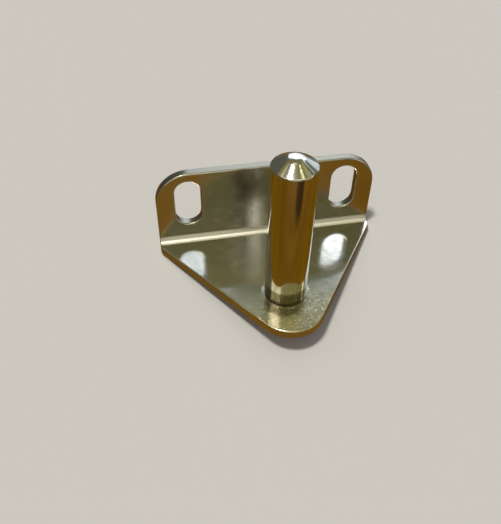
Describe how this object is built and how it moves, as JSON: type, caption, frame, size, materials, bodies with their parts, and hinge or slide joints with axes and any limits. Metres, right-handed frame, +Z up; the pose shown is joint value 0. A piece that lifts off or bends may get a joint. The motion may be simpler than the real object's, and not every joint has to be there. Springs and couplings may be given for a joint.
{
  "type": "window stay pin bracket",
  "caption": "Bent steel angle bracket with a slotted fixing flange and a round pin standing on its tapered shelf, which takes the eye of a window stay.",
  "frame": {"origin": "middle of the pin's foot, on the shelf's top face", "axes": "+Z up the pin, +Y square to the fixing flange towards the wall or frame behind it, +X along the bend"},
  "size_m": [0.056, 0.0381, 0.0441],
  "materials": {
    "plate_plating": "gloss",
    "pin_plating": "gloss",
    "screw_zinc": "satin"
  },
  "bodies": {
    "root": {"bracket_plate": "plate_plating", "pivot_pin": "pin_plating", "pin_screw": "screw_zinc"}
  },
  "joints": []
}
